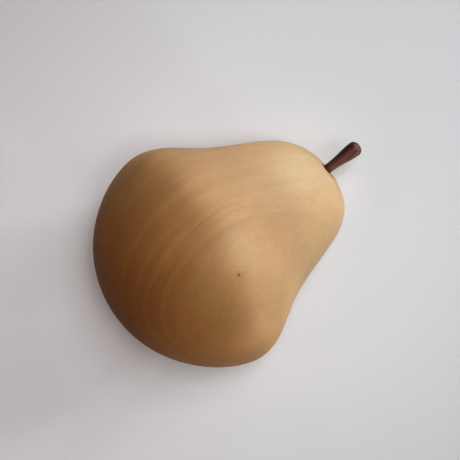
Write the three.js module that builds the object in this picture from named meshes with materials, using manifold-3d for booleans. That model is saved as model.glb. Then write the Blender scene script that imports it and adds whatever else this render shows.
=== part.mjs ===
// A wooden pear with a wooden stem, lying on its side.
//
// The body is shaped from one block of pale wood. Its outline is one smooth curve from the foot to the
// crown, and its middle wanders a little to the side, as on a pear that was sanded by hand. It rests on
// two small flats, one under the belly and one under the neck. The stem is a slim dark peg that thickens
// towards a rounded end. It is glued into a hole drilled in the upper side of the crown.
//
// Millimetres, +Z up. +X points from the foot to the stem. The origin is under the middle of the whole
// pear, on the surface that it rests on.

import * as THREE from 'three';
import { NURBSCurve } from 'three/addons/curves/NURBSCurve.js';
import { mergeVertices } from 'three/addons/utils/BufferGeometryUtils.js';
import Module from 'manifold-3d';

const wasm = await Module();
wasm.setup();

// Driving dimensions

const BELLY_DIAMETER = 80;
const BODY_LENGTH = 88.8;
const FLAT_DEPTH = 0.2; // sanded off below the belly and the neck

const STEM_NECK_DIAMETER = 3.2; // where it leaves the crown
const STEM_END_DIAMETER = 5.15;
const STEM_REACH = 13.6; // how far it stands out of the crown
const STEM_END_LENGTH = 2; // the rounded part of its end
const STEM_TENON_LENGTH = 8; // the part inside the crown
const STEM_ALONG = 85.8; // where it leaves the crown, along the axis from the foot
const STEM_ASIDE = -1.55; // and to the side of the axis, negative towards +Y
const STEM_ABOVE = 13.2; // and above the axis
const STEM_LEAN = THREE.MathUtils.degToRad( 4.2 ); // in plan, away from the axis
const STEM_RISE = THREE.MathUtils.degToRad( 27 ); // upwards, away from the axis

const GLUE_GAP = 0.3; // between the tenon and its hole, all round and at the bottom
const DRILL_POINT_LENGTH = 1.1; // the cone that the drill leaves at the bottom of its hole

// Facets

const BODY_SIDES = 72;
const BODY_ROWS = 46;
const STEM_SIDES = 24;
const FLARE_ROWS = 8;
const END_ROWS = 6;

// The body's outline, as the points that pull a smooth curve towards them. The first number is the
// distance along the axis from the foot, as a share of the body's length. The second is the distance
// from the axis, and the third is how far the middle lies to the side, both as shares of the belly's
// radius.

const OUTLINE = [
	[ 0, 0, 0 ], // pole of the foot
	[ 0, 0.345, 0 ], // round of the foot
	[ 0.14, 0.8425, 0 ], // lower belly
	[ 0.42, 1.0975, 0.0175 ], // belly
	[ 0.5825, 0.755, -0.0125 ], // waist
	[ 0.8355, 0.56, -0.005 ], // neck
	[ 0.9435, 0.435, 0.0125 ], // shoulder
	[ 1, 0.24, 0.0575 ], // round of the crown
	[ 1, 0, 0.0575 ], // pole of the crown
];

const CURVE_DEGREE = 3;

// Knots of a curve that starts and ends on its outermost points and is evenly spaced between them.

function evenKnots( pointCount, degree ) {

	const spans = pointCount - degree;
	const knots = [];

	for ( let i = - degree; i <= spans + degree; i ++ ) {

		knots.push( THREE.MathUtils.clamp( i / spans, 0, 1 ) );

	}

	return knots;

}

// The outline's rows, from the foot to the crown: a distance along the axis, a radius and a drift.

function bodyRows() {

	const radius = BELLY_DIAMETER / 2;
	const pulls = OUTLINE.map( ( [ along, out, aside ] ) =>
		new THREE.Vector4( out * radius, along * BODY_LENGTH, aside * radius, 1 ) );
	const curve = new NURBSCurve( CURVE_DEGREE, evenKnots( pulls.length, CURVE_DEGREE ), pulls );

	return curve.getPoints( BODY_ROWS ).map( ( point ) =>
		( { along: point.y, radius: point.x, drift: point.z } ) );

}

// Spins rows about the Y axis. The ends are put exactly on the axis, so that the solid closes.

function spin( rows, sides ) {

	const last = rows.length - 1;
	const profile = rows.map( ( row, i ) =>
		new THREE.Vector2( i === 0 || i === last ? 0 : row.radius, row.along ) );

	return new THREE.LatheGeometry( profile, sides );

}

// Booleans: a closed geometry becomes a solid, and a solid a geometry.

function solidOf( geometry ) {

	const bare = geometry.clone();
	bare.deleteAttribute( 'normal' );
	bare.deleteAttribute( 'uv' );
	const merged = mergeVertices( bare );
	const corners = merged.index.array;
	const triangles = [];

	for ( let i = 0; i < corners.length; i += 3 ) {

		const [ a, b, c ] = corners.slice( i, i + 3 );
		const isFlatAtPole = a === b || b === c || c === a;
		if ( ! isFlatAtPole ) triangles.push( a, b, c );

	}

	return new wasm.Manifold( new wasm.Mesh( {
		numProp: 3,
		vertProperties: merged.attributes.position.array,
		triVerts: new Uint32Array( triangles ),
	} ) );

}

function geometryOf( solid ) {

	const mesh = solid.getMesh();
	const geometry = new THREE.BufferGeometry();
	geometry.setAttribute( 'position', new THREE.BufferAttribute( mesh.vertProperties, mesh.numProp ) );
	geometry.setIndex( new THREE.BufferAttribute( mesh.triVerts, 1 ) );
	geometry.computeVertexNormals();
	return geometry;

}

// The body, upright along Y, with each row moved sideways by its drift.

function bodyGeometry( rows ) {

	const geometry = spin( rows, BODY_SIDES );
	const position = geometry.attributes.position;

	for ( let i = 0; i < position.count; i ++ ) {

		const row = rows[ i % rows.length ];
		position.setX( i, position.getX( i ) + row.drift );

	}

	return geometry;

}

// Carries the stem and its drill from their own Y axis to where they stand in the crown.

function stemPlace() {

	return new THREE.Matrix4()
		.makeRotationX( STEM_RISE )
		.multiply( new THREE.Matrix4().makeRotationZ( STEM_LEAN ) )
		.setPosition( STEM_ASIDE, STEM_ALONG, STEM_ABOVE );

}

// The stem: a straight tenon, a flare and a rounded end.

function stemGeometry() {

	const neck = STEM_NECK_DIAMETER / 2;
	const end = STEM_END_DIAMETER / 2;
	const endStart = STEM_REACH - STEM_END_LENGTH;
	const lowerPull = endStart * 0.5; // the heights of the flare's two handles
	const upperPull = endStart * 0.66;
	const profile = [
		new THREE.Vector2( 0, - STEM_TENON_LENGTH ),
		new THREE.Vector2( neck, - STEM_TENON_LENGTH ),
	];

	const flare = new THREE.CubicBezierCurve(
		new THREE.Vector2( neck, 0 ),
		new THREE.Vector2( neck, lowerPull ),
		new THREE.Vector2( end, upperPull ),
		new THREE.Vector2( end, endStart ),
	);
	profile.push( ...flare.getPoints( FLARE_ROWS ) );

	for ( let i = 1; i <= END_ROWS; i ++ ) {

		const angle = i / END_ROWS * Math.PI / 2;
		profile.push( new THREE.Vector2( end * Math.cos( angle ), endStart + STEM_END_LENGTH * Math.sin( angle ) ) );

	}

	const rows = profile.map( ( point ) => ( { along: point.y, radius: point.x } ) );
	return spin( rows, STEM_SIDES ).applyMatrix4( stemPlace() );

}

// The drill for the stem's hole. It reaches from the bottom of the hole to well outside the crown.

function drillGeometry() {

	const radius = STEM_NECK_DIAMETER / 2 + GLUE_GAP;
	const bottom = - STEM_TENON_LENGTH - GLUE_GAP;
	const rows = [
		{ along: bottom - DRILL_POINT_LENGTH, radius: 0 },
		{ along: bottom, radius },
		{ along: STEM_REACH, radius },
		{ along: STEM_REACH, radius: 0 },
	];
	return spin( rows, STEM_SIDES ).applyMatrix4( stemPlace() );

}

// How far the rows reach below the axis when the pear lies with its neck tilted down.

function reachBelow( rows, tilt ) {

	const heights = rows.map( ( row ) => row.radius * Math.cos( tilt ) + row.along * Math.sin( tilt ) );
	return Math.max( ...heights );

}

// Finds the tilt at which the belly and the neck touch the surface together, by halving. It returns
// the matrix that lays the upright pear down: its axis along +X, neck low, and the flats' depth
// already below the surface.

function layingDown( rows ) {

	const waist = 0.65 * BODY_LENGTH; // between the two places that touch
	const belly = rows.filter( ( row ) => row.along < waist );
	const neck = rows.filter( ( row ) => row.along >= waist );
	let low = 0;
	let high = Math.PI / 4;

	for ( let step = 0; step < 50; step ++ ) {

		const middle = ( low + high ) / 2;
		if ( reachBelow( belly, middle ) > reachBelow( neck, middle ) ) low = middle;
		else high = middle;

	}

	const tilt = ( low + high ) / 2;
	const height = reachBelow( rows, tilt ) - FLAT_DEPTH;
	const aside = new THREE.Vector3( 0, - 1, 0 );
	const along = new THREE.Vector3( Math.cos( tilt ), 0, - Math.sin( tilt ) );
	const upward = new THREE.Vector3( Math.sin( tilt ), 0, Math.cos( tilt ) );
	return new THREE.Matrix4().makeBasis( aside, along, upward ).setPosition( 0, 0, height );

}

// Everything below the surface that the pear rests on.

function groundGeometry() {

	const size = 4 * BELLY_DIAMETER;
	return new THREE.BoxGeometry( size, size, size ).translate( 0, 0, - size / 2 );

}

// Materials

const honeyWood = new THREE.MeshStandardMaterial( { color: 0xc9a073, roughness: 0.45, metalness: 0 } );
const darkWood = new THREE.MeshStandardMaterial( { color: 0x5a342a, roughness: 0.4, metalness: 0 } );

// Assembly

const rows = bodyRows();
const layDown = layingDown( rows );

const bodySolid = solidOf( bodyGeometry( rows ).applyMatrix4( layDown ) )
	.subtract( solidOf( drillGeometry().applyMatrix4( layDown ) ) )
	.subtract( solidOf( groundGeometry() ) );
const body = new THREE.Mesh( geometryOf( bodySolid ), honeyWood );
body.name = 'pear_body';

const stemSolid = solidOf( stemGeometry().applyMatrix4( layDown ) );
const stem = new THREE.Mesh( geometryOf( stemSolid ), darkWood );
stem.name = 'stem';

const pear = new THREE.Group();
pear.add( body, stem );

const middle = new THREE.Box3().setFromObject( pear ).getCenter( new THREE.Vector3() );
for ( const piece of pear.children ) piece.geometry.translate( - middle.x, - middle.y, 0 );

export default pear;
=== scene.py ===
from math import cos, pi, radians, sin

import bpy
import numpy as np
from mathutils import Matrix, Vector


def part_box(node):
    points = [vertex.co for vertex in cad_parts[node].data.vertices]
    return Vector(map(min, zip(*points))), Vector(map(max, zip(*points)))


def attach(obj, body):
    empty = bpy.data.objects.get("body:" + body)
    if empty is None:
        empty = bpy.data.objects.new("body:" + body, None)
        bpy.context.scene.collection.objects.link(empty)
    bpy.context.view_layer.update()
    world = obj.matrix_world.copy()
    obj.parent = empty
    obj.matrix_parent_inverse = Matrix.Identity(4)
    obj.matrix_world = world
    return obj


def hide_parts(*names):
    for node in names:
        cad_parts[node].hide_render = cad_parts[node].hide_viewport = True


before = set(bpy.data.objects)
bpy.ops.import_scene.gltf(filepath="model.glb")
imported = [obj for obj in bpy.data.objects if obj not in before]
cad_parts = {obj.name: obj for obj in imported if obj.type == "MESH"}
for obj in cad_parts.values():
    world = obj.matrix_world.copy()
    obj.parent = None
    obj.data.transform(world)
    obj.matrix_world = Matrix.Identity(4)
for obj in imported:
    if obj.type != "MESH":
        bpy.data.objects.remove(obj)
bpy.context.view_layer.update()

# ---------------------------------------------------------------------------------------------
# The body. The real piece is one block of pale, close-grained wood, such as lime or alder. It was
# turned, then sanded by hand until every trace of the tool had gone, and rubbed with wax. A blind
# hole is drilled in its crown for the stem.

MM = 0.001

BELLY_RADIUS = 40 * MM
BODY_LENGTH = 88.8 * MM
FLAT_DEPTH = 0.2 * MM  # sanded off below the belly and the neck, where the pear lies

STEM_NECK_RADIUS = 1.6 * MM
STEM_ALONG = 85.8 * MM  # where the stem leaves the crown: along the axis from the foot,
STEM_ASIDE = -1.55 * MM  # to the side of the axis,
STEM_ABOVE = 13.2 * MM  # and above it
STEM_LEAN = radians(4.2)  # in plan, away from the axis
STEM_RISE = radians(27)  # upwards, away from the axis
STEM_TENON_LENGTH = 8 * MM

HOLE_RADIUS = STEM_NECK_RADIUS + 0.08 * MM
HOLE_EDGE = 0.15 * MM  # the width of its slightly broken edge
HOLE_STEPS = ((0.05, 0.03), (0.01, 0.08), (0, 0.15), (0, 1.5), (0, 5), (0, 8.2))  # wider by, depth: mm
DRILL_POINT_DEPTH = 9.3 * MM

# The points that pull the outline towards them, from the foot to the crown: distance along the axis
# as a share of the length, then radius and sideways drift as shares of the belly's radius.
OUTLINE = np.array([
    (0.0000, 0.0000, 0.0000),  # pole of the foot
    (0.0000, 0.3450, 0.0000),  # round of the foot
    (0.1400, 0.8425, 0.0000),  # lower belly
    (0.4200, 1.0975, 0.0175),  # belly
    (0.5825, 0.7550, -0.0125),  # waist
    (0.8355, 0.5600, -0.0050),  # neck
    (0.9435, 0.4350, 0.0125),  # shoulder
    (1.0000, 0.2400, 0.0575),  # round of the crown
    (1.0000, 0.0000, 0.0575),  # pole of the crown
])
WAIST_SHARE = 0.65  # of the length: between the two places that touch the surface
CREST_ALONG = 33 * MM  # the belly's widest ring
CREST_HEIGHT = 0.2 * MM
CREST_WIDTH = 5 * MM
CROWN_START = 0.8  # share of the length, past which the crown is looked for
CROWN_RADIUS = 17.5 * MM  # inside it the rings of faces close in on the stem's hole, not on the pole
CROWN_OVERLAP = 0.05  # share of the outline below the crown that its table holds too
CROWN_CROWDING = 1.3  # above 1 the crown's rings crowd towards the hole

BODY_SIDES = 224
BODY_ROWS = 230
CROWN_ROWS = 60
OUTLINE_STEPS = 2000  # points on the outline where it is only measured
TABLE_STEPS = 6000  # and where the crown's surface is looked up in it
HALVINGS = 50  # of the range that the resting tilt lies in
DRIFT_STEPS = 8  # towards the sideways drift at a place on the crown
MOUTH_STEPS = 30  # towards the edge of the stem's hole
MOUTH_STEP_SHARE = 0.7  # of the way left, at each of them


def smooth_curve(pulls, shares, degree=3):
    """Points on an even B-spline that starts and ends on its outermost pulls."""
    spans = len(pulls) - degree
    knots = np.clip(np.arange(-degree, spans + degree + 1) / spans, 0, 1)
    at = np.minimum(np.asarray(shares, float), 1 - 1e-12)  # so that the end is still in the last span
    weights = [(knots[i] <= at) & (at < knots[i + 1]) for i in range(len(knots) - 1)]
    for d in range(1, degree + 1):
        raised = []
        for i in range(len(weights) - 1):
            rise = knots[i + d] - knots[i] or 1
            fall = knots[i + d + 1] - knots[i + 1] or 1
            raised.append(
                weights[i] * (at - knots[i]) / rise
                + weights[i + 1] * (knots[i + d + 1] - at) / fall
            )
        weights = raised
    return np.stack(weights, axis=-1) @ pulls


def outline(shares):
    """Distance along the axis, radius and drift at the given shares of the way to the crown."""
    return smooth_curve(OUTLINE * (BODY_LENGTH, BELLY_RADIUS, BELLY_RADIUS), shares).T


def reach_below(along, radius, tilt):
    """How far the outline reaches below the axis when the neck is tilted down."""
    return np.max(radius * cos(tilt) + along * sin(tilt))


def resting_tilt():
    """The tilt at which belly and neck touch the surface together, and the foot's height then."""
    along, radius, _ = outline(np.linspace(0, 1, OUTLINE_STEPS))
    belly = along < WAIST_SHARE * BODY_LENGTH
    neck = ~belly
    low, high = 0, pi / 4
    for _ in range(HALVINGS):
        tilt = (low + high) / 2
        belly_reach = reach_below(along[belly], radius[belly], tilt)
        neck_reach = reach_below(along[neck], radius[neck], tilt)
        if belly_reach > neck_reach:
            low = tilt
        else:
            high = tilt
    return tilt, reach_below(along, radius, tilt) - FLAT_DEPTH


TILT, AXIS_HEIGHT = resting_tilt()
ALONG = np.array((cos(TILT), 0, -sin(TILT)))
ASIDE = np.array((0, -1, 0))
UPWARD = np.array((sin(TILT), 0, cos(TILT)))


def foot_pole():
    """The foot's pole, placed so that the outline without its crest fills the CAD body's box."""
    lowest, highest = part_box("pear_body")
    along, radius, drift = outline(np.linspace(0, 1, OUTLINE_STEPS))
    rearmost = np.min(along * cos(TILT) - radius * sin(TILT))
    middle = (np.max(drift + radius) + np.min(drift - radius)) / 2
    return np.array((lowest[0] - rearmost, (lowest[1] + highest[1]) / 2 + middle, AXIS_HEIGHT))


FOOT = foot_pole()


def lay(along, aside, upward):
    """Places of the lying pear, from distances measured on the upright one."""
    along, aside, upward = np.broadcast_arrays(along, aside, upward)
    return FOOT + along[..., None] * ALONG + aside[..., None] * ASIDE + upward[..., None] * UPWARD


def ringed_mesh(name, rings):
    """A closed mesh from rings of points, with a pole at each end."""
    count, sides = rings.shape[0] - 2, rings.shape[1]
    points = [rings[0, 0], *rings[1:-1].reshape(-1, 3), rings[-1, 0]]
    last = len(points) - 1
    faces = []
    for side in range(sides):
        beside = (side + 1) % sides
        faces.append((0, 1 + side, 1 + beside))
        for row in range(count - 1):
            a = 1 + row * sides
            faces.append((a + side, a + sides + side, a + sides + beside, a + beside))
        top = 1 + (count - 1) * sides
        faces.append((last, top + beside, top + side))
    mesh = bpy.data.meshes.new(name)
    mesh.from_pydata([tuple(p) for p in points], [], faces)
    mesh.shade_smooth()
    piece = bpy.data.objects.new(name, mesh)
    bpy.context.collection.objects.link(piece)
    return piece


def beside_stem(along, out, angles):
    """Places round the stem's line: out from it, and along it from where it leaves the crown."""
    right = out * np.sin(angles)
    front = out * np.cos(angles)
    aside = right * cos(STEM_LEAN) - along * sin(STEM_LEAN)
    forward = right * sin(STEM_LEAN) + along * cos(STEM_LEAN)
    return (
        STEM_ALONG + forward * cos(STEM_RISE) - front * sin(STEM_RISE),
        STEM_ASIDE + aside,
        STEM_ABOVE + forward * sin(STEM_RISE) + front * cos(STEM_RISE),
    )


def crest_rise(along):
    """How far the belly's widest ring stands proud, where the sanding has left a soft edge."""
    return CREST_HEIGHT * np.exp(-((along - CREST_ALONG) / CREST_WIDTH) ** 2)


def body_rings():
    """The body's rings: up the outline, in over the crown to the stem's hole, and down the hole."""
    angles = np.linspace(0, 2 * pi, BODY_SIDES, endpoint=False)
    shares = np.linspace(0, 1, TABLE_STEPS)
    table_along, table_radius, table_drift = outline(shares)
    near_crown = (table_along > CROWN_START * BODY_LENGTH) & (table_radius < CROWN_RADIUS)
    crown_share = shares[np.argmax(near_crown)]
    rings = []
    for t, r, d in zip(*outline(np.linspace(0, crown_share, BODY_ROWS))):
        r += crest_rise(t)
        rings.append(np.stack([np.full(BODY_SIDES, t), d + r * np.sin(angles), r * np.cos(angles)], 1))

    upper = shares > crown_share - CROWN_OVERLAP
    crown_along, crown_radius, crown_drift = (
        table[upper][::-1] for table in (table_along, table_radius, table_drift)
    )

    def on_crown(aside, up):
        """How far along the axis the crown's surface lies, at places beside and above the axis."""
        off = 0
        for _ in range(DRIFT_STEPS):
            out = np.hypot(aside - off, up)
            off = np.interp(out, crown_radius, crown_drift)
        return np.interp(out, crown_radius, crown_along)

    # Along the stem's line to the surface, found by steps.
    mouth = HOLE_RADIUS + HOLE_EDGE
    reach = np.zeros(BODY_SIDES)
    for _ in range(MOUTH_STEPS):
        t, a, u = beside_stem(reach, mouth, angles)
        reach += MOUTH_STEP_SHARE * (on_crown(a, u) - t)
    _, mouth_aside, mouth_up = beside_stem(reach, mouth, angles)

    start_ring = rings[-1]
    for j in range(1, CROWN_ROWS + 1):
        s = 1 - (1 - j / CROWN_ROWS) ** CROWN_CROWDING
        a = start_ring[:, 1] + s * (mouth_aside - start_ring[:, 1])
        u = start_ring[:, 2] + s * (mouth_up - start_ring[:, 2])
        rings.append(np.stack([on_crown(a, u), a, u], 1))

    for wider, depth in HOLE_STEPS:
        rings.append(np.stack(beside_stem(reach - depth * MM, HOLE_RADIUS + wider * MM, angles), 1))
    drill_point = np.full(BODY_SIDES, np.mean(reach) - DRILL_POINT_DEPTH)
    rings.append(np.stack(beside_stem(drill_point, 0, angles), 1))
    return np.array(rings)


def laid_down(rings):
    """Lays the upright rings down. The two small flats keep them above the surface."""
    places = lay(rings[..., 0], rings[..., 1], rings[..., 2])
    places[..., 2] = np.maximum(places[..., 2], 0)
    return places


body = ringed_mesh("pear_wood_body", laid_down(body_rings()))
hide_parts("pear_body")
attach(body, "root")


def colour(hex_code):
    """A linear colour from an sRGB hex code."""
    channels = [int(hex_code[i:i + 2], 16) / 255 for i in (1, 3, 5)]
    linear = [c / 12.92 if c <= 0.04045 else ((c + 0.055) / 1.055) ** 2.4 for c in channels]
    return (*linear, 1)


def node(material, kind, settings=None, inputs=None):
    """Adds a node, sets its properties, and gives its inputs values or links.

    The two values of a Mix node are its inputs 2 and 3 for numbers, and 6 and 7 for colours.
    """
    new = material.node_tree.nodes.new(kind)
    for name, value in (settings or {}).items():
        setattr(new, name, value)
    for name, value in (inputs or {}).items():
        if isinstance(value, bpy.types.NodeSocket):
            material.node_tree.links.new(value, new.inputs[name])
        else:
            new.inputs[name].default_value = value
    return new


def new_material(name):
    """A new material with only the standard shader in it."""
    material = bpy.data.materials.new(name)
    material.use_nodes = True
    return material


def unit(vector):
    return vector / np.linalg.norm(vector)


# Waxed pale wood: honey-coloured, with soft growth rings, short fibres and one pin knot. Along the
# grain it is darker and redder at the shaded foot and paler at the lit neck, partly its own tone and
# partly painted shade and light, and soft patches of painted light and shade lie on it. The wax gives
# it a broad satin sheen.
PITH_PLACE = (44.4 * MM, 44.9 * MM, 59.2 * MM)  # a point of the tree's middle: along, aside, above
PITH_LINE = (1.0, -0.096, -0.041)  # the tree's middle runs this way: along, aside, above
FOOT_END = -39.0  # mm along the grain from the tree's point
CROWN_END = 49.8
SHEEN_ROUGHNESS = 0.55
SHEEN_LEVEL = 0.22
FINGER_MARKS = 0.05  # how far the wax's roughness varies

# The wood's colour along the grain, partly its own tone and partly painted shade at the foot and
# painted light at the neck: share of the way from the foot to the crown.
GRAIN_AND_PAINTED_LIGHT_COLOURS = (
    (0.02, "#9F734C"), (0.17, "#A57E55"), (0.30, "#A17F5B"), (0.44, "#9B7E5E"),
    (0.68, "#9E8366"), (0.82, "#A58C6D"), (0.93, "#A68D70"),
)

pear_wood = new_material("waxed pale wood")
grain = unit(PITH_LINE[0] * ALONG + PITH_LINE[1] * ASIDE + PITH_LINE[2] * UPWARD)
across = unit(np.cross(UPWARD, grain))
frame_of_grain = Matrix((across, np.cross(grain, across), grain)).transposed()
place = node(pear_wood, "ShaderNodeTexCoord").outputs["Object"]
# In mm from the tree's middle, with Z along the grain.
log = node(pear_wood, "ShaderNodeMapping", {"vector_type": "TEXTURE"}, {
    "Vector": place,
    "Location": lay(*PITH_PLACE),
    "Rotation": frame_of_grain.to_euler(),
    "Scale": (MM, MM, MM),
}).outputs[0]
in_log = node(pear_wood, "ShaderNodeSeparateXYZ", None, {0: log})
from_foot = node(pear_wood, "ShaderNodeMapRange", None, {
    "Value": in_log.outputs["Z"], "From Min": FOOT_END, "From Max": CROWN_END,
}).outputs[0]
grain_and_painted_light_colour = node(pear_wood, "ShaderNodeValToRGB", None, {"Fac": from_foot})
stops = grain_and_painted_light_colour.color_ramp.elements
for share, hex_code in GRAIN_AND_PAINTED_LIGHT_COLOURS:
    stops.new(share).color = colour(hex_code)
stops.remove(stops[0])
stops.remove(stops[len(stops) - 1])

# The layers of wood, by their distance from the tree's middle. Past the waist they curve away from
# the neck. They sway a little, and they bulge round the pin knot.
BEND_START = 6.0  # mm along the grain
BEND_RATE = 0.0045  # mm away per square mm
SWAY = 1.6  # mm
SWAY_LENGTHS = (16.7, 16.7, 40.0)  # mm across the tree and along it
KNOT_PLACE = (33.1, 11.9, 38.3)  # mm along, aside, above
KNOT_BULGE = 1.2  # mm
KNOT_BULGE_RADIUS = 3.5 * MM

radial = node(pear_wood, "ShaderNodeVectorMath", {"operation": "MULTIPLY"}, {0: log, 1: (1, 1, 0)})
pith_distance = node(pear_wood, "ShaderNodeVectorMath", {"operation": "LENGTH"}, {
    0: radial.outputs[0],
})
past_waist = node(pear_wood, "ShaderNodeMath", {"operation": "SUBTRACT"}, {
    0: in_log.outputs["Z"], 1: BEND_START,
})
past_waist = node(pear_wood, "ShaderNodeMath", {"operation": "MAXIMUM"}, {
    0: past_waist.outputs[0], 1: 0,
})
bend = node(pear_wood, "ShaderNodeMath", {"operation": "POWER"}, {0: past_waist.outputs[0], 1: 2})
bent = node(pear_wood, "ShaderNodeMath", {"operation": "MULTIPLY_ADD"}, {
    0: bend.outputs[0], 1: BEND_RATE, 2: pith_distance.outputs["Value"],
})
sway_place = node(pear_wood, "ShaderNodeVectorMath", {"operation": "DIVIDE"}, {
    0: log, 1: SWAY_LENGTHS,
})
sway = node(pear_wood, "ShaderNodeTexNoise", None, {
    "Vector": sway_place.outputs[0], "Scale": 1.0, "Detail": 2.0,
})
swayed = node(pear_wood, "ShaderNodeMath", {"operation": "MULTIPLY_ADD"}, {
    0: sway.outputs[0], 1: SWAY, 2: bent.outputs[0],
})
from_knot = node(pear_wood, "ShaderNodeVectorMath", {"operation": "DISTANCE"}, {
    0: place, 1: lay(*(MM * distance for distance in KNOT_PLACE)),
})
bulge = node(pear_wood, "ShaderNodeMapRange", {"interpolation_type": "SMOOTHSTEP"}, {
    "Value": from_knot.outputs["Value"], "From Min": 0.0, "From Max": KNOT_BULGE_RADIUS,
    "To Min": KNOT_BULGE, "To Max": 0.0,
})
layer = node(pear_wood, "ShaderNodeMath", {"operation": "ADD"}, {
    0: swayed.outputs[0], 1: bulge.outputs[0],
}).outputs[0]

# Growth rings: distance from the tree's middle in mm, and how much paler the wood is there, in per
# cent. They are fainter in the neck, and where the surface is nearest to the tree's middle.
RINGS = (
    (30.0, 0.5), (36.2, 1.5), (38.9, -3.0), (40.8, 0.5), (42.6, -1.5), (44.2, 0.0), (45.3, -2.5),
    (47.2, 1.5), (49.3, 0.0), (51.3, -4.5), (53.8, 3.0), (55.4, -4.0), (56.5, -1.0), (57.3, -3.0),
    (58.8, 3.5), (61.2, -3.5), (64.0, 1.5), (65.8, -1.0), (67.4, -4.5), (70.9, 3.5), (73.0, -2.5),
    (75.2, 0.5), (77.8, -3.5), (81.3, 1.0), (84.0, -1.5), (88.0, 0.0), (92.0, -3.0), (100.0, 0.0),
)
FIRST_RING = RINGS[0][0]
LAST_RING = RINGS[-1][0]
RAMP_REACH = 10  # per cent paler at the top of the ramp, and as much darker at its bottom
INNER_FAINTNESS = 0.85  # how much fainter the rings are near the tree's middle
INNER_FAINT = (43.0, 54.0)  # mm from it: this faint up to the first, not faint from the second
NECK_FAINTNESS = 0.65  # how much fainter the rings are in the neck
NECK_FAINT = (-2.0, 14.0)  # mm along the grain: not faint up to the first, this faint from the second

# The sway adds half of SWAY on average, so the rings start and end that much further out.
ring_share = node(pear_wood, "ShaderNodeMapRange", None, {
    "Value": layer, "From Min": FIRST_RING + SWAY / 2, "From Max": LAST_RING + SWAY / 2,
})
rings = node(pear_wood, "ShaderNodeValToRGB", None, {"Fac": ring_share.outputs[0]})
rings.color_ramp.interpolation = "EASE"
stops = rings.color_ramp.elements
for distance, paler in RINGS:
    height = 0.5 + 0.5 * paler / RAMP_REACH
    stop = stops.new((distance - FIRST_RING) / (LAST_RING - FIRST_RING))
    stop.color = (height, height, height, 1)
stops.remove(stops[0])
stops.remove(stops[len(stops) - 1])
ring_tone = node(pear_wood, "ShaderNodeMapRange", None, {
    "Value": rings.outputs["Color"],
    "To Min": 1 - RAMP_REACH / 100, "To Max": 1 + RAMP_REACH / 100,
})
inner_faint = node(pear_wood, "ShaderNodeMapRange", {"interpolation_type": "SMOOTHSTEP"}, {
    "Value": layer, "From Min": INNER_FAINT[0], "From Max": INNER_FAINT[1],
    "To Min": INNER_FAINTNESS, "To Max": 0.0,
})
neck_faint = node(pear_wood, "ShaderNodeMapRange", {"interpolation_type": "SMOOTHSTEP"}, {
    "Value": in_log.outputs["Z"], "From Min": NECK_FAINT[0], "From Max": NECK_FAINT[1],
    "To Min": 0.0, "To Max": NECK_FAINTNESS,
})
faint = node(pear_wood, "ShaderNodeMath", {"operation": "MAXIMUM"}, {
    0: neck_faint.outputs[0], 1: inner_faint.outputs[0],
}).outputs[0]
ring_tone = node(pear_wood, "ShaderNodeMix", {"data_type": "FLOAT"}, {
    "Factor": faint, 2: ring_tone.outputs[0], 3: 1.0,
}).outputs[0]

# Where a point is in the layers: across them, round them and along the grain, in mm.
layers = node(pear_wood, "ShaderNodeCombineXYZ", None, {
    "X": layer, "Y": in_log.outputs["X"], "Z": in_log.outputs["Z"],
}).outputs[0]


def grain_tone(lengths, detail, seed, tones, noise=(0.3, 0.7)):
    """Streaks in the layers, of the given lengths in mm: across the layers, round and along them.

    The tone goes from the first to the second as the noise goes from its first level to its second.
    """
    streak_place = node(pear_wood, "ShaderNodeVectorMath", {"operation": "DIVIDE"}, {
        0: layers, 1: lengths,
    })
    seeded = node(pear_wood, "ShaderNodeVectorMath", {"operation": "ADD"}, {
        0: streak_place.outputs[0], 1: (seed, seed, seed),
    })
    streaks = node(pear_wood, "ShaderNodeTexNoise", None, {
        "Vector": seeded.outputs[0], "Scale": 1.0, "Detail": detail, "Roughness": 0.6,
    })
    return node(pear_wood, "ShaderNodeMapRange", None, {
        "Value": streaks.outputs[0], "From Min": noise[0], "From Max": noise[1],
        "To Min": tones[0], "To Max": tones[1],
    }).outputs[0]


# Fine dark and pale lines between the rings, about a millimetre wide and 17 to 25 mm long.
dark_lines = grain_tone((1.0, 20.0, 25.0), detail=1.0, seed=3.1, tones=(1.01, 0.935), noise=(0.52, 0.74))
pale_lines = grain_tone((1.25, 16.7, 20.0), detail=1.0, seed=31.7, tones=(0.995, 1.035), noise=(0.54, 0.74))
lines = node(pear_wood, "ShaderNodeMath", {"operation": "MULTIPLY"}, {0: dark_lines, 1: pale_lines})
lines = node(pear_wood, "ShaderNodeMix", {"data_type": "FLOAT"}, {
    "Factor": faint, 2: lines.outputs[0], 3: 1.0,
}).outputs[0]

# Fibres, drawn about 0.5 mm wide, coarser than real ones, so that they show. Then the flecks of the
# wood's rays, and broad stretches that took up more or less wax.
fibres = grain_tone((0.5, 2.2, 3.0), detail=2.0, seed=21.4, tones=(0.972, 1.028))
flecks = grain_tone((0.385, 0.91, 1.0), detail=2.0, seed=7.7, tones=(0.965, 1.035))
stretches = grain_tone((10.0, 10.0, 14.3), detail=2.0, seed=5.3, tones=(0.97, 1.03))

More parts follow.
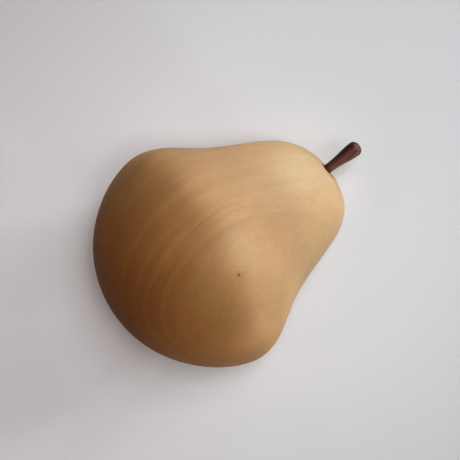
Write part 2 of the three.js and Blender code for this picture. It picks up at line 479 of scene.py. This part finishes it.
# A patch at the waist where the fibres are wavy and the wood looks mottled.
MOTTLED_PLACE = (48 * MM, -5 * MM, 29 * MM)
MOTTLED_CORE = 3 * MM
MOTTLED_RADIUS = 11 * MM
mottled_distance = node(pear_wood, "ShaderNodeVectorMath", {"operation": "DISTANCE"}, {
    0: place, 1: lay(*MOTTLED_PLACE),
})
mottled = node(pear_wood, "ShaderNodeMapRange", {"interpolation_type": "SMOOTHSTEP"}, {
    "Value": mottled_distance.outputs["Value"], "From Min": MOTTLED_CORE, "From Max": MOTTLED_RADIUS,
    "To Min": 1.0, "To Max": 0.0,
})
mottle = node(pear_wood, "ShaderNodeMix", {"data_type": "FLOAT"}, {
    "Factor": mottled.outputs[0],
    2: 1.0, 3: grain_tone((1.1, 1.1, 1.67), detail=3.0, seed=47.0, tones=(0.955, 1.045)),
}).outputs[0]

tone = ring_tone
for streak_tone in (lines, fibres, flecks, stretches, mottle):
    tone = node(pear_wood, "ShaderNodeMath", {"operation": "MULTIPLY"}, {
        0: tone, 1: streak_tone,
    }).outputs[0]

# The wood drifts a little between yellow and pink.
YELLOWER = (0.985, 1.008, 0.970, 1)
PINKER = (1.013, 0.990, 1.020, 1)
drift = grain_tone((6.0, 6.0, 7.0), detail=1.0, seed=11.9, tones=(0.15, 0.85))
tint = node(pear_wood, "ShaderNodeMix", {"data_type": "RGBA"}, {
    "Factor": drift, 6: YELLOWER, 7: PINKER,
}).outputs[2]
tinted = node(pear_wood, "ShaderNodeVectorMath", {"operation": "MULTIPLY"}, {
    0: grain_and_painted_light_colour.outputs["Color"], 1: tint,
}).outputs[0]
wood_and_painted_light_colour = node(pear_wood, "ShaderNodeVectorMath", {"operation": "SCALE"}, {
    0: tinted, "Scale": tone,
}).outputs[0]

# Painted light and shade: broad soft patches, paler where light or a highlight is painted and
# darker where shade is painted, and some of them creamier, like a whitish highlight.
PAINTED_LIGHT_PATCHES = (
    # along, aside, above and radius in mm, tone, cream (below 0: more orange)
    (66, -26, 6, 30, 1.16, 0.00),
    (75, -8, 20, 14, 1.10, 0.05),
    (74, 13, 18, 16, 0.95, -0.04),
    (58, 7, 26, 18, 0.89, -0.03),
    (46, 33, 10, 20, 1.16, -0.02),
    (31, 33, 23, 12, 1.14, 0.00),
    (36, -37, 10, 17, 1.07, -0.02),
    (38, -33, 19, 9, 1.07, 0.00),
    (26, -33, 18, 9, 0.93, 0.00),
    (30, -24, 29, 12, 0.93, 0.00),
    (31, -7, 39, 14, 0.90, -0.02),
    (37, 6, 39, 11, 1.09, 0.05),
    (22, -4, 36, 14, 1.08, 0.00),
    (21, 13, 34, 12, 1.00, 0.04),
    (22, 24, 28, 14, 0.91, 0.00),
    (15, -24, 20, 16, 0.95, 0.00),
)
PAINTED_PATCH_CORE = 0.15  # the share of its radius inside which a patch is at its full tone
for along, aside, above, radius, painted_tone, cream in PAINTED_LIGHT_PATCHES:
    away = node(pear_wood, "ShaderNodeVectorMath", {"operation": "DISTANCE"}, {
        0: place, 1: lay(along * MM, aside * MM, above * MM),
    })
    near = node(pear_wood, "ShaderNodeMapRange", {"interpolation_type": "SMOOTHSTEP"}, {
        "Value": away.outputs["Value"],
        "From Min": PAINTED_PATCH_CORE * radius * MM, "From Max": radius * MM, "To Min": 1.0, "To Max": 0.0,
    })
    # Painted light or shade, as a paler or darker tone on the wood.
    patch = node(pear_wood, "ShaderNodeMix", {"data_type": "RGBA"}, {
        "Factor": near.outputs[0],
        6: (1, 1, 1, 1), 7: (painted_tone - cream, painted_tone, painted_tone + cream, 1),
    })
    wood_and_painted_light_colour = node(pear_wood, "ShaderNodeVectorMath", {"operation": "MULTIPLY"}, {
        0: wood_and_painted_light_colour, 1: patch.outputs[2],
    }).outputs[0]

# The pin knot: a faint halo, a dark dot and a smaller one beside it. Then a dark olive trace on one
# side of the hole's mouth: painted shade where the stem meets the crown, with some glue.
KNOT_STAINS_AND_JOINT_SHADE = (
    # along, aside, above, inner and outer radius in mm, strength, colour
    (34.0, 12.6, 38.2, 0.20, 2.60, 0.10, "#5E3518"),
    (*KNOT_PLACE, 0.25, 0.72, 0.58, "#5E3518"),
    (33.6, 11.15, 38.45, 0.10, 0.55, 0.32, "#5E3518"),
    # painted shade, with some glue, on one side of the hole's mouth
    (85.7, -2.7, 13.4, 0.80, 1.90, 0.70, "#4A3518"),
)
for along, aside, above, inner, outer, strength, hex_code in KNOT_STAINS_AND_JOINT_SHADE:
    away = node(pear_wood, "ShaderNodeVectorMath", {"operation": "DISTANCE"}, {
        0: place, 1: lay(along * MM, aside * MM, above * MM),
    })
    near = node(pear_wood, "ShaderNodeMapRange", {"interpolation_type": "SMOOTHSTEP"}, {
        "Value": away.outputs["Value"], "From Min": inner * MM, "From Max": outer * MM,
        "To Min": strength, "To Max": 0.0,
    })
    wood_and_painted_light_colour = node(pear_wood, "ShaderNodeMix", {"data_type": "RGBA"}, {
        "Factor": near.outputs[0], 6: wood_and_painted_light_colour, 7: colour(hex_code),
    }).outputs[2]

# Relief of the open fibre ends, drawn a third of a millimetre wide, and the wax's uneven polish.
RELIEF_DEPTH = 0.05 * MM
RELIEF_STRENGTH = 0.25
POLISH = (SHEEN_ROUGHNESS - FINGER_MARKS, SHEEN_ROUGHNESS + FINGER_MARKS)

fibre_ends = grain_tone((0.333, 1.67, 3.33), detail=2.0, seed=1.3, tones=(0.0, 1.0))
relief = node(pear_wood, "ShaderNodeBump", None, {
    "Height": fibre_ends, "Strength": RELIEF_STRENGTH, "Distance": RELIEF_DEPTH,
})
polish = grain_tone((2.0, 5.0, 12.5), detail=2.0, seed=9.4, tones=POLISH)
shader = pear_wood.node_tree.nodes["Principled BSDF"]
shader.inputs["Specular IOR Level"].default_value = SHEEN_LEVEL
# The wood's own colour, with painted light and shade in it.
pear_wood.node_tree.links.new(wood_and_painted_light_colour, shader.inputs["Base Color"])
pear_wood.node_tree.links.new(polish, shader.inputs["Roughness"])
pear_wood.node_tree.links.new(relief.outputs[0], shader.inputs["Normal"])
body.data.materials.append(pear_wood)

# ---------------------------------------------------------------------------------------------
# The stem. The real piece is a slim peg whittled from a dark red-brown wood, such as rosewood, a
# little thicker towards its rounded end, and oiled. It is glued into the hole in the crown.

STEM_END_RADIUS = 2.575 * MM
STEM_REACH = 13.6 * MM  # how far it stands out of the crown
STEM_END_LENGTH = 2.0 * MM  # the rounded part of its end
TENON_BEVEL_LENGTH = 0.2 * MM
TENON_BEVEL_WIDTH = 0.16 * MM
TENON_TOP = 2.0 * MM  # how far down the hole the straight tenon's last ring of points lies
STEM_SIDES = 64
FLARE_ROWS = 40
END_ROWS = 20


def stem_rings():
    """The stem's rings: a straight tenon, a flare and a rounded end."""
    angles = np.linspace(0, 2 * pi, STEM_SIDES, endpoint=False)
    end_start = STEM_REACH - STEM_END_LENGTH
    lower_pull = 0.5 * end_start  # the heights of the flare's two handles
    upper_pull = 0.66 * end_start
    profile = [
        (-STEM_TENON_LENGTH, 0),
        (-STEM_TENON_LENGTH, STEM_NECK_RADIUS - TENON_BEVEL_WIDTH),
        (-STEM_TENON_LENGTH + TENON_BEVEL_LENGTH, STEM_NECK_RADIUS),
        (-TENON_TOP, STEM_NECK_RADIUS),
    ]
    for s in np.linspace(0, 1, FLARE_ROWS):
        neck_share = (1 - s) ** 3 + 3 * (1 - s) ** 2 * s
        height = (
            3 * s * (1 - s) ** 2 * lower_pull
            + 3 * s ** 2 * (1 - s) * upper_pull
            + s ** 3 * end_start
        )
        profile.append((height, neck_share * STEM_NECK_RADIUS + (1 - neck_share) * STEM_END_RADIUS))
    for s in np.linspace(0, pi / 2, END_ROWS + 1)[1:]:
        profile.append((end_start + STEM_END_LENGTH * sin(s), STEM_END_RADIUS * cos(s)))
    return np.array([lay(*beside_stem(height, radius, angles)) for height, radius in profile])


stem = ringed_mesh("dark_wood_stem", stem_rings())
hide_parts("stem")
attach(stem, "root")

# Oiled dark wood: red-brown, with fibres that run along the stem, a nearly black band of painted
# shade along one side, and darker ends: the end grain at the tip has soaked up oil, and at the crown
# glue and painted shade darken it.
STEM_FIBRE_LENGTHS = (0.77, 0.77, 10.0)  # mm across the stem and along it
STEM_ROUGHNESS = 0.42
STEM_LEVEL = 0.35
STEM_STAINS_AND_SHADE = (
    # direction in the stem, where the stain or painted shade is full and where it has gone in mm, strength,
    # colour
    ("Z", 12.6, 10.8, 0.6, "#4A2A23"),  # end grain
    ("X", -1.7, -0.4, 0.7, "#3A2B26"),  # painted shade along one side
    ("Z", 0.2, 1.8, 0.6, "#4A3518"),  # glue and painted shade where the stem meets the crown
)

stem_wood = new_material("oiled dark wood")
stem_line = unit(np.subtract(lay(*beside_stem(1, 0, 0)), lay(*beside_stem(0, 0, 0))))
stem_side = unit(np.cross(stem_line, UPWARD))
frame_of_stem = Matrix((stem_side, np.cross(stem_line, stem_side), stem_line)).transposed()
# In mm from where the stem leaves the crown, with Z along the stem.
peg = node(stem_wood, "ShaderNodeMapping", {"vector_type": "TEXTURE"}, {
    "Vector": node(stem_wood, "ShaderNodeTexCoord").outputs["Object"],
    "Location": lay(*beside_stem(0, 0, 0)),
    "Rotation": frame_of_stem.to_euler(),
    "Scale": (MM, MM, MM),
}).outputs[0]
fibre_place = node(stem_wood, "ShaderNodeVectorMath", {"operation": "DIVIDE"}, {
    0: peg, 1: STEM_FIBRE_LENGTHS,
})
stem_fibres = node(stem_wood, "ShaderNodeTexNoise", None, {
    "Vector": fibre_place.outputs[0], "Scale": 1.0, "Detail": 3.0, "Roughness": 0.65,
})
stem_grain = node(stem_wood, "ShaderNodeValToRGB", None, {"Fac": stem_fibres.outputs[0]})
dark_fibre, pale_fibre = stem_grain.color_ramp.elements
dark_fibre.position = 0.33
dark_fibre.color = colour("#62473F")
pale_fibre.position = 0.66
pale_fibre.color = colour("#88645A")

in_stem = node(stem_wood, "ShaderNodeSeparateXYZ", None, {0: peg})
stem_colour = stem_grain.outputs["Color"]
for direction, full, gone, strength, hex_code in STEM_STAINS_AND_SHADE:
    stain = node(stem_wood, "ShaderNodeMapRange", {"interpolation_type": "SMOOTHSTEP"}, {
        "Value": in_stem.outputs[direction],
        "From Min": min(full, gone), "From Max": max(full, gone),
        "To Min": strength if full < gone else 0.0, "To Max": 0.0 if full < gone else strength,
    })
    stem_colour = node(stem_wood, "ShaderNodeMix", {"data_type": "RGBA"}, {
        "Factor": stain.outputs[0], 6: stem_colour, 7: colour(hex_code),
    }).outputs[2]
shader = stem_wood.node_tree.nodes["Principled BSDF"]
shader.inputs["Roughness"].default_value = STEM_ROUGHNESS
shader.inputs["Specular IOR Level"].default_value = STEM_LEVEL
stem_wood.node_tree.links.new(stem_colour, shader.inputs["Base Color"])
stem.data.materials.append(stem_wood)

# ---------------------------------------------------------------------------------------------
# The studio: a pale matt table top, a long low bank of soft lamps on the stem's side, and softer
# lamps overhead.

FLOOR_SIZE = 3.0  # metres

floor_mesh = bpy.data.meshes.new("floor")
half = FLOOR_SIZE / 2
floor_mesh.from_pydata(
    [(-half, -half, 0), (half, -half, 0), (half, half, 0), (-half, half, 0)], [], [(0, 1, 2, 3)]
)
floor = bpy.data.objects.new("floor", floor_mesh)
bpy.context.collection.objects.link(floor)

# Pale matt table: a painted board, almost white. Painted light fall-off on it: darker and pinker on
# the left, away from the lamps, and darker away from the pear, where less light falls.
TABLE_SHADED_LEFT = "#DAD6D8"
TABLE_LIT_RIGHT = "#DADADB"
TABLE_TINT_REACH = 0.1  # metres either side of X = 0, where the left tint turns into the right
TABLE_PAINTED_FALLOFF = (0.82, 0.79, 0.78, 1)  # painted fall-off of the light, as a share of its own colour
TABLE_LIGHT_POOL_MIDDLE = (0, -0.012, 0)  # of the painted pool of light, where it has not darkened
TABLE_LIGHT_POOL_SPREAD = (0.51, 0.316, 1)  # metres along X and Y
TABLE_DARK_AT = 0.2  # square of the distance from that middle, in spreads, where it is darkest
TABLE_ROUGHNESS = 0.8

table = new_material("pale matt table")
table_place = node(table, "ShaderNodeTexCoord").outputs["Object"]
spread = node(table, "ShaderNodeMapping", {"vector_type": "TEXTURE"}, {
    "Vector": table_place, "Location": TABLE_LIGHT_POOL_MIDDLE, "Scale": TABLE_LIGHT_POOL_SPREAD,
}).outputs[0]
squared = node(table, "ShaderNodeVectorMath", {"operation": "DOT_PRODUCT"}, {0: spread, 1: spread})
far_out = node(table, "ShaderNodeMapRange", None, {
    "Value": squared.outputs["Value"], "From Min": 0.0, "From Max": TABLE_DARK_AT,
})
# Painted fall-off: the table is coloured darker away from the pear.
painted_falloff = node(table, "ShaderNodeMix", {"data_type": "RGBA"}, {
    "Factor": far_out.outputs[0], 6: (1, 1, 1, 1), 7: TABLE_PAINTED_FALLOFF,
})
in_table = node(table, "ShaderNodeSeparateXYZ", None, {0: table_place})
# Painted shade: the left, away from the lamps, is coloured darker and pinker.
rightward = node(table, "ShaderNodeMapRange", None, {
    "Value": in_table.outputs["X"], "From Min": -TABLE_TINT_REACH, "From Max": TABLE_TINT_REACH,
})
painted_side_light = node(table, "ShaderNodeMix", {"data_type": "RGBA"}, {
    "Factor": rightward.outputs[0], 6: colour(TABLE_SHADED_LEFT), 7: colour(TABLE_LIT_RIGHT),
})
table_colour = node(table, "ShaderNodeVectorMath", {"operation": "MULTIPLY"}, {
    0: painted_side_light.outputs[2], 1: painted_falloff.outputs[2],
})
shader = table.node_tree.nodes["Principled BSDF"]
shader.inputs["Roughness"].default_value = TABLE_ROUGHNESS
table.node_tree.links.new(table_colour.outputs[0], shader.inputs["Base Color"])
floor_mesh.materials.append(table)


def soft_lamp(name, azimuth, elevation, width, strength, hex_code):
    """A distant round lamp, wide enough for soft shadows. Angles in degrees, azimuth from +X to +Y."""
    lamp = bpy.data.lights.new(name, "SUN")
    lamp.color = colour(hex_code)[:3]
    lamp.angle = radians(width)
    lamp.energy = strength
    holder = bpy.data.objects.new(name, lamp)
    azimuth, elevation = radians(azimuth), radians(elevation)
    towards = Vector((
        cos(elevation) * cos(azimuth), cos(elevation) * sin(azimuth), sin(elevation)
    ))
    holder.rotation_euler = towards.to_track_quat("Z", "Y").to_euler()
    bpy.context.collection.objects.link(holder)


DAYLIGHT = "#E5F1FD"
WHITE = "#F8FCFD"
WARM = "#FFE6CE"
BANK_ELEVATION = 3
BANK_WIDTH = 6  # of each of its lamps, in degrees

# The long low bank lights the crown and throws the long soft shadow.
for azimuth, strength in ((-77, 1.05), (-32, 0.9), (13, 1.0), (36, 0.65)):
    soft_lamp("low", azimuth, BANK_ELEVATION, BANK_WIDTH, strength, DAYLIGHT)
soft_lamp("low_end", 58, BANK_ELEVATION, BANK_WIDTH, 0.3, WARM)
soft_lamp("middle", -10, 16, 6, 0.4, DAYLIGHT)
soft_lamp("upper", 4, 32, 22, 0.33, WHITE)
# Nearly overhead.
soft_lamp("high_side", -32, 60, 16, 0.12, DAYLIGHT)
soft_lamp("high_front", 13, 60, 16, 0.39, DAYLIGHT)
soft_lamp("top_side", -32, 72, 14, 0.31, WHITE)
soft_lamp("top_front", 13, 72, 14, 0.56, WHITE)
soft_lamp("top", -2, 82, 10, 0.19, WARM)
# Warm light that the room sends back.
soft_lamp("room_side", 148, 60, 16, 0.09, WARM)
soft_lamp("room_back", -167, 46, 20, 0.09, WARM)

# ---------------------------------------------------------------------------------------------
# The camera looks down from high above, leaning a little towards the stem, and turned so that the
# stem points to the upper right.

# Where the camera is, measured like the pear's own sizes: along its axis from the foot, aside, above.
CAMERA_ALONG = -97.3 * MM
CAMERA_ASIDE = -1.6 * MM
CAMERA_ABOVE = 545.4 * MM
CAMERA_OFF_AXIS = radians(15)  # between its line of sight and a square look at the pear's axis
CAMERA_TURN = radians(-32.13)  # about its line of sight
SENSOR_WIDTH = 36
FOCAL_SHARE = 3.5846  # focal length in picture widths

camera = bpy.data.cameras.new("camera")
camera.sensor_width = SENSOR_WIDTH
camera.lens = FOCAL_SHARE * SENSOR_WIDTH
eye = bpy.data.objects.new("camera", camera)
eye.location = lay(CAMERA_ALONG, CAMERA_ASIDE, CAMERA_ABOVE)
lean = Matrix.Rotation(TILT - CAMERA_OFF_AXIS, 3, "Y")
eye.rotation_euler = (lean @ Matrix.Rotation(CAMERA_TURN, 3, "Z")).to_euler()
bpy.context.collection.objects.link(eye)
bpy.context.scene.camera = eye
bpy.context.scene.view_settings.view_transform = "Standard"
bpy.context.scene.view_settings.look = "Very High Contrast"
